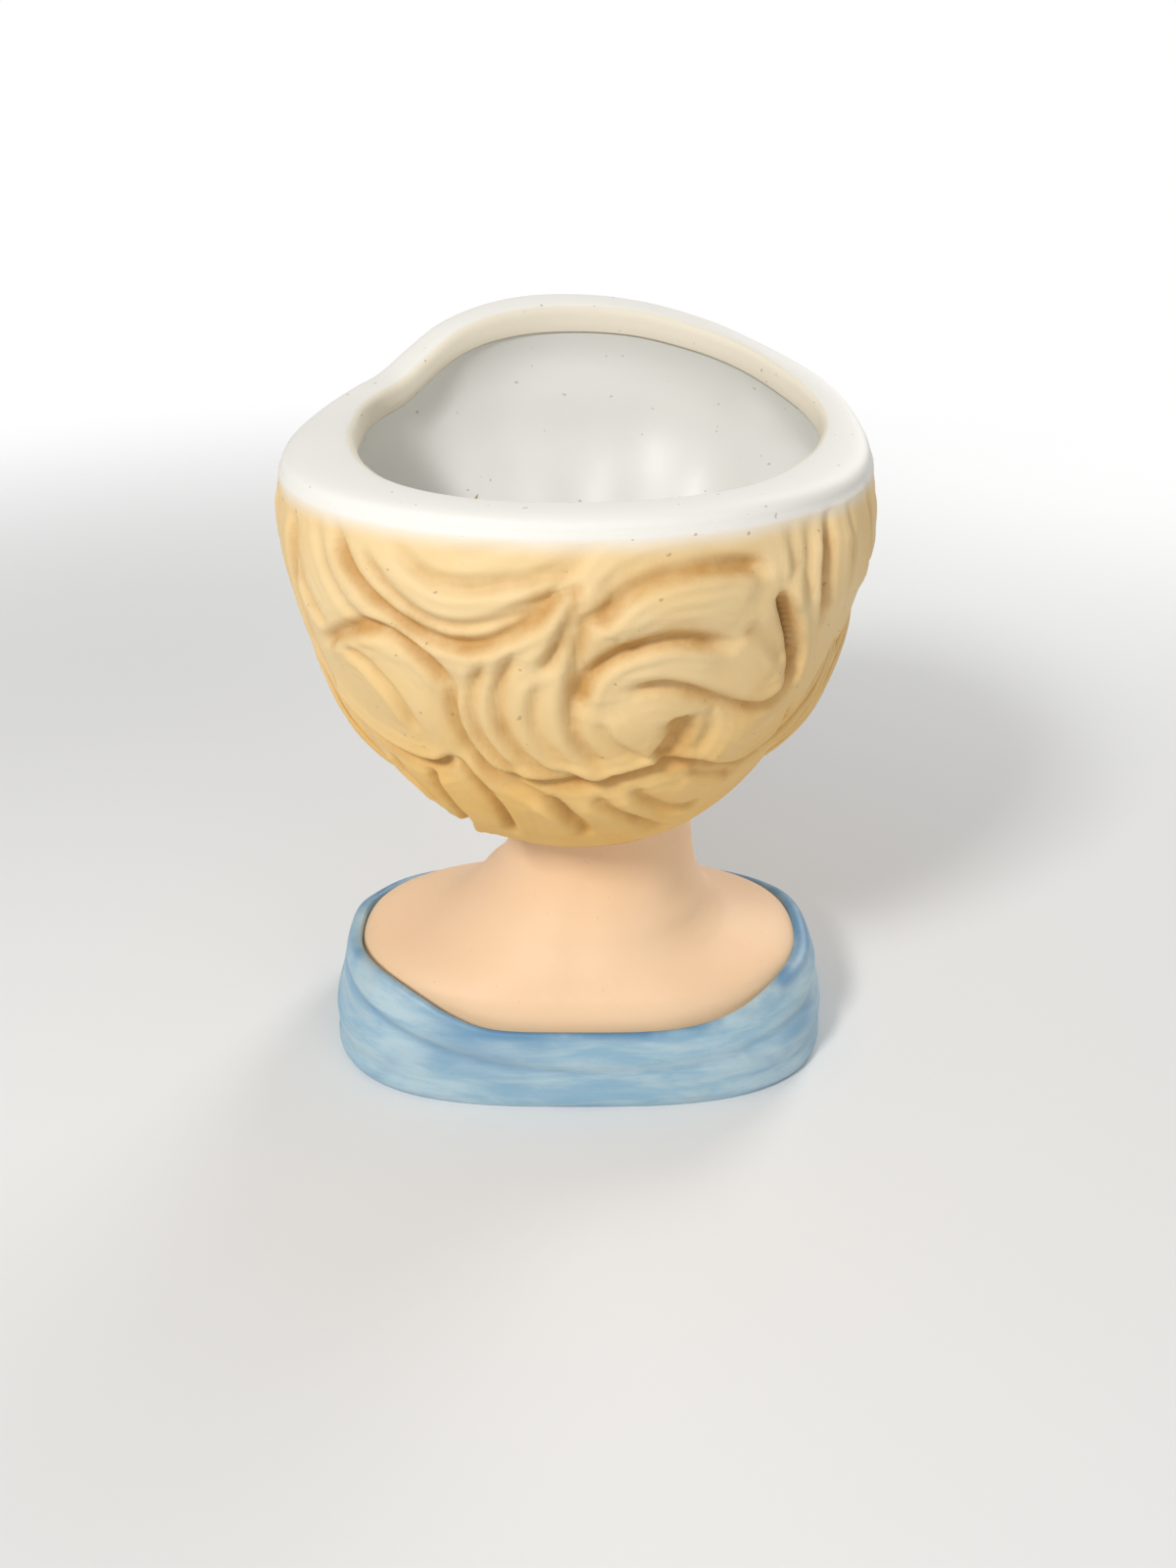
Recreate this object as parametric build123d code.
from build123d import *
import math
import os

# A head planter: a lady's head and shoulders in bisque, open at the crown.
# The face looks towards -Y, +X is her left side, and the pot stands on z = 0.
# Angles round the head run from 0 at the back, positive towards her right, to 180 at the front.

# Driving sizes, millimetres
total_height = 146.6
hair_width = 104.0
hair_back = 53.0
hair_front = 46.0
wall = 4.5
glaze = 0.8
rim_depth = 5.0
mouth_width = 82.0
mouth_back = 41.5
mouth_front = 37.7
mouth_shift = 2.2
neck_width = 39.0
neck_depth = 37.0
neck_shift = 2.5
dress_width = 105.0
dress_depth = 67.0
dress_side_lip = 6.0
dress_back_lip = 2.0
neckline_seat = 3.0
floor_thickness = 4.0
foot_recess = 1.6
face_width = 63.0
face_depth = 36.5
face_setback = 5.0
window_width = 56.0
nose_length = 7.5
eyelid_rise = 2.6
lip_rise = 1.7
face_back = -3.0
face_backing = 1.0
hollow_overlap = 10.0
hub_radius = 9.0
lock_width = 10.0
lock_height = 6.4
lock_tip_share = 0.12
lock_seat_share = 0.6
lock_sections = 5

# One overrun serves every cut that passes right through, but for the mouth's, which has its own range
overrun = 90.0
mouth_range_share = (0.75, 1.11)

# Plans are rounded ovals: an exponent of 2 is an ellipse, and a larger one is squarer
head_squareness = 2.15
mouth_squareness = 2.1
base_squareness = 3.0
face_squareness = 2.2
plan_points = 24

# Height, half width, back and front, as shares of total_height, hair_width / 2, hair_back and hair_front
cap_shares = [
    (0.402, 0.44, 0.50, 0.22),
    (0.450, 0.60, 0.67, 0.46),
    (0.518, 0.77, 0.80, 0.64),
    (0.600, 0.90, 0.91, 0.79),
    (0.689, 0.98, 0.98, 0.90),
    (0.778, 1.00, 1.00, 0.98),
    (0.860, 0.98, 0.96, 1.00),
    (0.941, 0.94, 0.89, 0.97),
    (1.040, 0.86, 0.80, 0.89),
]

# Height of the rim round the head: the angle, and a share of total_height
rim_shares = [
    (0, 0.865), (40, 0.872), (80, 0.880), (100, 0.898), (120, 0.924), (140, 0.954), (160, 0.984),
    (180, 1.000), (200, 0.994), (215, 0.968), (225, 0.930), (240, 0.898), (255, 0.888), (280, 0.872),
    (320, 0.868),
]
rim_hub_share = 0.880
rim_hub_share_of_spoke = 0.10
rim_reach_share = 1.35

# Shoulders: height, then how far the width and the depth have spread from the neck's to the dress's
shoulder_shares = [
    (0.075, 1.00, 1.00),
    (0.125, 0.99, 0.99),
    (0.164, 0.94, 0.95),
    (0.198, 0.80, 0.80),
    (0.225, 0.60, 0.62),
    (0.260, 0.30, 0.38),
    (0.300, 0.10, 0.16),
    (0.341, 0.015, 0.04),
    (0.390, 0.00, 0.00),
    (0.470, 0.00, 0.00),
]

# Dress: height, half width and half depth, as shares of total_height, dress_width / 2, dress_depth / 2
dress_shares = [
    (0.000, 0.985, 0.985),
    (0.045, 1.000, 1.000),
    (0.095, 0.985, 0.990),
    (0.150, 0.945, 0.970),
    (0.205, 0.890, 0.920),
    (0.270, 0.820, 0.850),
]
neckline_back_share = 0.143
neckline_front_share = 0.198
neckline_side_share = 0.034

# Hollow below the head: height, then the spread of its width and depth from the neck's to the dress's
hollow_shares = [
    (0.038, 1.00, 1.00),
    (0.085, 0.99, 0.99),
    (0.118, 0.93, 0.95),
    (0.143, 0.84, 0.89),
    (0.170, 0.73, 0.80),
    (0.198, 0.57, 0.64),
    (0.225, 0.41, 0.45),
    (0.260, 0.21, 0.28),
    (0.300, 0.07, 0.12),
    (0.341, 0.00, 0.02),
    (0.385, 0.00, 0.00),
    (0.440, 0.00, 0.00),
]

# Face: height, half width and depth, as shares of total_height, face_width / 2 and face_depth
face_shares = [
    (0.341, 0.50, 0.95),
    (0.356, 0.56, 0.99),
    (0.380, 0.64, 1.02),
    (0.410, 0.72, 1.01),
    (0.450, 0.83, 0.98),
    (0.505, 0.93, 0.96),
    (0.573, 0.99, 0.965),
    (0.641, 1.00, 0.98),
    (0.709, 0.98, 1.00),
    (0.764, 0.96, 0.985),
    (0.835, 0.90, 0.92),
]

# Forms on the face: rise, then place across and up and their half sizes, across as shares of
# face_width / 2 and up as shares of total_height
face_forms = [
    (0.30 * nose_length, 0.00, 0.628, 0.10, 0.050),
    (0.55 * nose_length, 0.00, 0.570, 0.12, 0.040),
    (0.55 * nose_length, 0.00, 0.531, 0.14, 0.023),
    (0.28 * nose_length, 0.15, 0.521, 0.08, 0.016),
    (-1.10 * eyelid_rise, 0.39, 0.632, 0.27, 0.036),
    (eyelid_rise, 0.41, 0.618, 0.18, 0.022),
    (0.35 * eyelid_rise, 0.38, 0.674, 0.30, 0.018),
    (0.50 * eyelid_rise, 0.55, 0.548, 0.26, 0.055),
    (lip_rise, 0.00, 0.467, 0.21, 0.014),
    (1.10 * lip_rise, 0.00, 0.438, 0.17, 0.014),
    (-0.80 * lip_rise, 0.00, 0.413, 0.22, 0.014),
    (1.00 * lip_rise, 0.00, 0.378, 0.24, 0.028),
]
face_levels = 26
face_angles = [-90, -72, -58, -45, -34, -25, -17, -10, -5, 0, 5, 10, 17, 25, 34, 45, 58, 72, 90]

# Window for the face: its bottom, where its arch springs, and its crown
window_shares = (0.300, 0.690, 0.815)

# Hollow of the head: height, and how much of the hair's front half it takes up
hollow_front_shares = [
    (0.410, 0.50),
    (0.600, 0.50),
    (0.720, 0.52),
    (0.800, 0.60),
    (0.850, 0.82),
    (0.900, 1.00),
    (1.040, 1.00),
]
hollow_face_range_share = (0.400, 0.860)

# Locks of hair, piece by piece: each is a path of angles and shares of total_height, then its
# width and height as shares of lock_width and lock_height
lock_shares = {
    "crown_waves": [
        ([(-46, 0.840), (-38, 0.795), (-28, 0.762), (-16, 0.755), (-5, 0.785), (1, 0.820)], 1.00, 0.85),
        ([(-62, 0.795), (-47, 0.745), (-32, 0.712), (-19, 0.698)], 1.00, 0.80),
        ([(-62, 0.680), (-47, 0.690), (-35, 0.655), (-25, 0.588)], 1.40, 1.00),
        ([(-66, 0.625), (-50, 0.605), (-36, 0.578), (-27, 0.562)], 0.80, 0.80),
    ],
    "back_swirl": [
        ([(-10, 0.705), (-17, 0.650), (-13, 0.592), (2, 0.565), (17, 0.582)], 0.80, 0.80),
        ([(0, 0.755), (-7, 0.700), (-8, 0.635), (3, 0.590), (12, 0.600)], 0.95, 0.95),
        ([(2, 0.700), (6, 0.750), (18, 0.785), (32, 0.765), (38, 0.712)], 1.15, 0.90),
        ([(6, 0.660), (12, 0.712), (22, 0.722), (35, 0.695)], 0.85, 0.85),
        ([(14, 0.672), (20, 0.655), (17, 0.620), (9, 0.625)], 0.85, 1.00),
        ([(22, 0.590), (32, 0.612), (39, 0.655), (42, 0.700)], 1.05, 0.95),
    ],
    "nape_roll": [
        ([(-50, 0.532), (-26, 0.500), (0, 0.489), (26, 0.500), (44, 0.525)], 1.35, 1.10),
        ([(-46, 0.480), (-18, 0.445), (18, 0.445), (46, 0.480)], 1.30, 1.00),
    ],
    "side_locks": [
        ([(49, 0.850), (51, 0.790), (48, 0.730)], 1.00, 0.80),
        ([(66, 0.860), (68, 0.780), (66, 0.715)], 1.10, 0.85),
        ([(82, 0.860), (85, 0.760), (78, 0.655)], 1.20, 0.90),
        ([(61, 0.665), (58, 0.625), (50, 0.592), (41, 0.574)], 0.80, 1.30),
        ([(-66, 0.850), (-73, 0.770), (-74, 0.670)], 1.00, 0.85),
        ([(-86, 0.850), (-94, 0.760), (-90, 0.640)], 1.20, 0.85),
    ],
    "front_wave": [
        ([(-132, 0.855), (-155, 0.882), (180, 0.895), (157, 0.880), (138, 0.845)], 1.40, 1.00),
    ],
    "cheek_curls": [
        ([(122, 0.820), (119, 0.750), (124, 0.670), (120, 0.605)], 1.30, 1.00),
        ([(106, 0.700), (105, 0.615), (97, 0.530)], 1.40, 1.15),
        ([(-122, 0.820), (-119, 0.750), (-124, 0.670), (-120, 0.605)], 1.30, 1.00),
        ([(-106, 0.700), (-105, 0.615), (-97, 0.530)], 1.40, 1.15),
    ],
}


def smooth(rows, place):
    """The columns of a table at a place between its rows, on a smooth curve through them."""
    last = len(rows) - 1
    place = min(max(place, rows[0][0]), rows[last][0])
    i = min(max(k for k in range(last + 1) if rows[k][0] <= place), last - 1)
    here, there = rows[i], rows[i + 1]
    before, after = rows[max(i - 1, 0)], rows[min(i + 2, last)]
    gap = there[0] - here[0]
    t = (place - here[0]) / gap
    values = []
    for k in range(1, len(here)):
        slope_here = (there[k] - before[k]) / (there[0] - before[0]) * gap
        slope_there = (after[k] - here[k]) / (after[0] - here[0]) * gap
        values.append((2 * t ** 3 - 3 * t ** 2 + 1) * here[k] + (t ** 3 - 2 * t ** 2 + t) * slope_here
                      + (3 * t ** 2 - 2 * t ** 3) * there[k] + (t ** 3 - t ** 2) * slope_there)
    return values


def plan_point(angle, half_width, back, front, squareness, shift_x=0.0):
    """A point of a rounded oval, at an angle in degrees from the back."""
    power = 2 / squareness
    side, along = math.sin(math.radians(angle)), math.cos(math.radians(angle))
    reach = back if along > 0 else front
    return (shift_x - half_width * math.copysign(abs(side) ** power, side),
            reach * math.copysign(abs(along) ** power, along))


def plan(z, half_width, back, front, squareness, shift_x=0.0):
    """A closed level curve."""
    points = []
    for i in range(plan_points):
        x, y = plan_point(360 * i / plan_points, half_width, back, front, squareness, shift_x)
        points.append(Vector(x, y, z))
    even = [i / plan_points for i in range(plan_points + 1)]
    return Wire([Edge.make_spline(points, periodic=True, parameters=even)])


def cap_size(z):
    """Half width, back and front of the hair cap at a height."""
    width, back, front = smooth(cap_shares, z / total_height)
    return width * hair_width / 2, back * hair_back, front * hair_front


def cap_point(angle, z):
    x, y = plan_point(angle, *cap_size(z), head_squareness)
    return Vector(x, y, z)


def cap_normal(angle, z):
    """The direction straight out of the cap's surface."""
    step_angle, step_z = 1.0, total_height / 100
    across = cap_point(angle + step_angle, z) - cap_point(angle - step_angle, z)
    up = cap_point(angle, z + step_z) - cap_point(angle, z - step_z)
    out = up.cross(across)
    return out.normalized()


def heights(low, high, count):
    return [low + (high - low) * i / (count - 1) for i in range(count)]


def make_cap():
    """The whole mass of the hair before its top is cut."""
    low, high = (cap_shares[i][0] * total_height for i in (0, -1))
    return Solid.make_loft([plan(z, *cap_size(z), head_squareness) for z in heights(low, high, 12)])


def above_rim(drop=0.0):
    """Everything over the wavy rim, or over the same surface set lower."""
    outer, inner, even = [], [], []
    middle = Vector(0, 0, rim_hub_share * total_height)
    for angle, share in rim_shares:
        spoke = cap_point(angle, share * total_height) - middle
        outer.append(middle + spoke * rim_reach_share - Vector(0, 0, drop))
        inner.append(middle + spoke * rim_hub_share_of_spoke - Vector(0, 0, drop))
        even.append(angle / 360)
    even.append(1)
    outer_edge = Edge.make_spline(outer, periodic=True, parameters=even)
    inner_edge = Edge.make_spline(inner, periodic=True, parameters=even)
    slope = Face.make_surface_from_curves(outer_edge, inner_edge)
    hub = Solid.make_cylinder(hub_radius, overrun, Plane((0, 0, middle.Z - drop - hub_radius)))
    return Solid.extrude(slope, Vector(0, 0, overrun)) + hub


def shoulder_size(z):
    """Half width, half depth and squareness of the skin at a height."""
    wide, deep = smooth(shoulder_shares, z / total_height)
    half_width = neck_width / 2 + wide * (dress_width / 2 - dress_side_lip - neck_width / 2)
    half_depth = neck_depth / 2 + deep * (dress_depth / 2 - dress_back_lip - neck_depth / 2)
    return half_width, half_depth, head_squareness + wide * (base_squareness - head_squareness), wide


def make_shoulders():
    """Neck, shoulders and chest as one solid form, from inside the dress to inside the head."""
    low, high = (shoulder_shares[i][0] * total_height for i in (0, -1))
    levels = []
    for z in heights(low, high, 13):
        half_width, half_depth, squareness, wide = shoulder_size(z)
        levels.append(plan(z, half_width, half_depth, half_depth, squareness, -neck_shift * (1 - wide)))
    return Solid.make_loft(levels)


def make_dress():
    low, high = (dress_shares[i][0] * total_height for i in (0, -1))
    levels = []
    for z in heights(low, high, 8):
        wide, deep = smooth(dress_shares, z / total_height)
        half_depth = deep * dress_depth / 2
        levels.append(plan(z, wide * dress_width / 2, half_depth, half_depth, base_squareness))
    return Solid.make_loft(levels)


def above_neckline(drop=0.0):
    """Everything over the dress's top edge, which dips at the back and lifts at the sides."""
    middle = (neckline_back_share + neckline_front_share) / 2 * total_height - drop
    side = middle + neckline_side_share * total_height
    reach = dress_width / 2
    edge = Spline((-reach, side), (0, middle), (reach, side))
    top = middle + overrun
    sides = Polyline((reach, side), (reach, top), (-reach, top), (-reach, side))
    profile = Plane.XZ * make_face([edge, sides])
    slab = extrude(profile, overrun, both=True)
    rise = (neckline_front_share - neckline_back_share) * total_height
    tilt = math.degrees(math.atan2(rise, dress_depth))
    return Pos(0, 0, middle) * (Rot(-tilt, 0, 0) * (Pos(0, 0, -middle) * slab))


def oval_loft(low, high, count, size_at):
    """A smooth form through level curves, where size_at(z) gives what plan() needs after z."""
    return Solid.make_loft([plan(z, *size_at(z)) for z in heights(low, high, count)])


def make_hollow(lining=0.0):
    """The inside of the casting from the floor to the mouth, or the same space less a lining."""
    inset = wall + lining

    def inside_neck(z):
        wide, deep = smooth(hollow_shares, z / total_height)
        half_width = neck_width / 2 - inset + wide * (dress_width - neck_width) / 2
        half_depth = neck_depth / 2 - inset + deep * (dress_depth - neck_depth) / 2
        squareness = head_squareness + wide * (base_squareness - head_squareness)
        return half_width, half_depth, half_depth, squareness, -neck_shift * (1 - wide)

    def inside_hair(z):
        width, back, front = cap_size(z - wall)
        share, = smooth(hollow_front_shares, z / total_height)
        return width - inset, back - inset, (front - inset) * share, head_squareness

    def inside_face(z):
        wide, deep = smooth(face_shares, z / total_height)
        front = face_setback + deep * face_depth - inset - face_backing
        return wide * face_width / 2 - inset, hollow_overlap, front, head_squareness

    bottom = foot_recess + floor_thickness + lining if lining else -foot_recess
    neck_top = hollow_shares[-1][0] * total_height
    head_low, head_high = (hollow_front_shares[i][0] * total_height for i in (0, -1))
    face_low, face_high = (share * total_height for share in hollow_face_range_share)
    return (oval_loft(bottom, neck_top, 15, inside_neck) + oval_loft(head_low, head_high, 11, inside_hair)
            + oval_loft(face_low, face_high, 8, inside_face))


def face_point(angle, z):
    """A point of the face, at an angle from straight ahead: a calm, even, everyday oval face."""
    wide, deep = smooth(face_shares, z / total_height)
    power = 2 / face_squareness
    side, ahead = math.sin(math.radians(angle)), abs(math.cos(math.radians(angle)))
    x = wide * face_width / 2 * math.copysign(abs(side) ** power, side)
    y = -face_setback - deep * face_depth * ahead ** power
    for rise, across, up, half_width, half_height in face_forms:
        for mirror in ((1, -1) if across else (1,)):
            u = (x / (face_width / 2) - mirror * across) / half_width
            v = (z / total_height - up) / half_height
            y -= rise * math.exp(-u ** 2 - v ** 2) * math.sqrt(ahead)
    return Vector(x, y, z)


def face_section(z, front):
    """A level section of the face block, closed at the back by straight lines."""
    left, right = front[0], front[-1]
    back_left, back_right = (Vector(p.X, face_back, z) for p in (left, right))
    even = [i / (len(front) - 1) for i in range(len(front))]
    return Wire([
        Edge.make_spline(front, parameters=even) if len(front) > 2 else Edge.make_line(left, right),
        Edge.make_line(right, back_right),
        Edge.make_line(back_right, back_left),
        Edge.make_line(back_left, left),
    ])


def make_face_block(open_front=False):
    """The face with everything behind it, or the straight-fronted space that the face looks out of."""
    low, high = (face_shares[i][0] * total_height for i in (0, -1))
    sections = []
    for z in heights(low, high, face_levels):
        front = [face_point(angle, z) for angle in face_angles]
        if open_front:
            front = [Vector(p.X, -overrun, z) for p in (front[0], front[-1])]
        sections.append(face_section(z, front))
    return Solid.make_loft(sections)


def make_window():
    """The arched opening in the hair that frames the face, cut straight back."""
    half = window_width / 2
    low, spring, crown = (share * total_height for share in window_shares)
    arch = EllipticalCenterArc((0, spring), half, crown - spring, start_angle=0, arc_size=180)
    sides = Polyline((-half, spring), (-half, low), (half, low), (half, spring))
    return extrude(Plane.XZ * make_face([arch, sides]), overrun, both=True)


def lock(path, width_share, height_share):
    """A tapering strand of modelled clay laid along a path of angles and heights on the cap."""
    line = Edge.make_spline([cap_point(angle, share * total_height) for angle, share in path])
    sections = []
    for i in range(lock_sections):
        t = i / (lock_sections - 1)
        centre = line.position_at(t)
        out = cap_normal(*lock_place(path, t))
        ahead = line.tangent_at(t)
        across = out.cross(ahead).normalized()
        swell = lock_tip_share + (1 - lock_tip_share) * math.sin(math.pi * t) ** 0.7
        half_width = across * (lock_width / 2 * width_share * swell)
        height = ahead.cross(across) * (lock_height / 2 * height_share * swell)
        left, right = (centre + side - height * lock_seat_share for side in (-half_width, half_width))
        bow = Edge.make_three_point_arc(left, centre + height, right)
        sections.append(Wire([bow, Edge.make_line(right, left)]))
    return Solid.make_loft(sections)


def lock_place(path, t):
    """The angle and height reached a share t of the way along a path."""
    rows = [(i / (len(path) - 1), angle, share) for i, (angle, share) in enumerate(path)]
    angle, share = smooth(rows, t)
    return angle, share * total_height


def below(z):
    """Everything under a level."""
    return Pos(0, 0, z - overrun / 2) * Box(2 * overrun, 2 * overrun, overrun)


def write(parts):
    os.makedirs("parts", exist_ok=True)
    for name, solid in parts.items():
        solid.label = name
        export_step(solid, f"parts/{name}.step")


if __name__ == "__main__":
    hollow = make_hollow()
    over_rim = above_rim()
    over_band = above_rim(rim_depth)
    head = make_cap()
    under_band = head - over_band
    window = make_window()
    face_block = make_face_block() & window
    face_space = make_face_block(open_front=True) & window
    mouth_low, mouth_high = (share * total_height for share in mouth_range_share)
    mouth_level = plan(mouth_low, mouth_width / 2, mouth_back, mouth_front, mouth_squareness, -mouth_shift)
    mouth = Solid.extrude(Face(mouth_level), Vector(0, 0, mouth_high - mouth_low))
    torso = make_shoulders() & above_neckline(neckline_seat)
    floor_top = foot_recess + floor_thickness

    parts = {
        "mouth_rim": ((head - mouth) & over_band) - over_rim,
        "hair_cap": under_band - face_space - hollow,
        "face": face_block - hollow,
        "neck_and_shoulders": torso - hollow - under_band - face_block,
        "dress": make_dress() - above_neckline() - torso - hollow,
        "base_floor": (hollow & below(floor_top)) - below(foot_recess),
        "glaze_lining": hollow - below(floor_top) - over_band - make_hollow(glaze),
    }
    for name, locks in lock_shares.items():
        strands = [lock(path, width, height) for path, width, height in locks]
        piece = strands[0].fuse(*strands[1:]) if len(strands) > 1 else strands[0]
        parts[name] = piece.cut(head, over_band)
    write(parts)
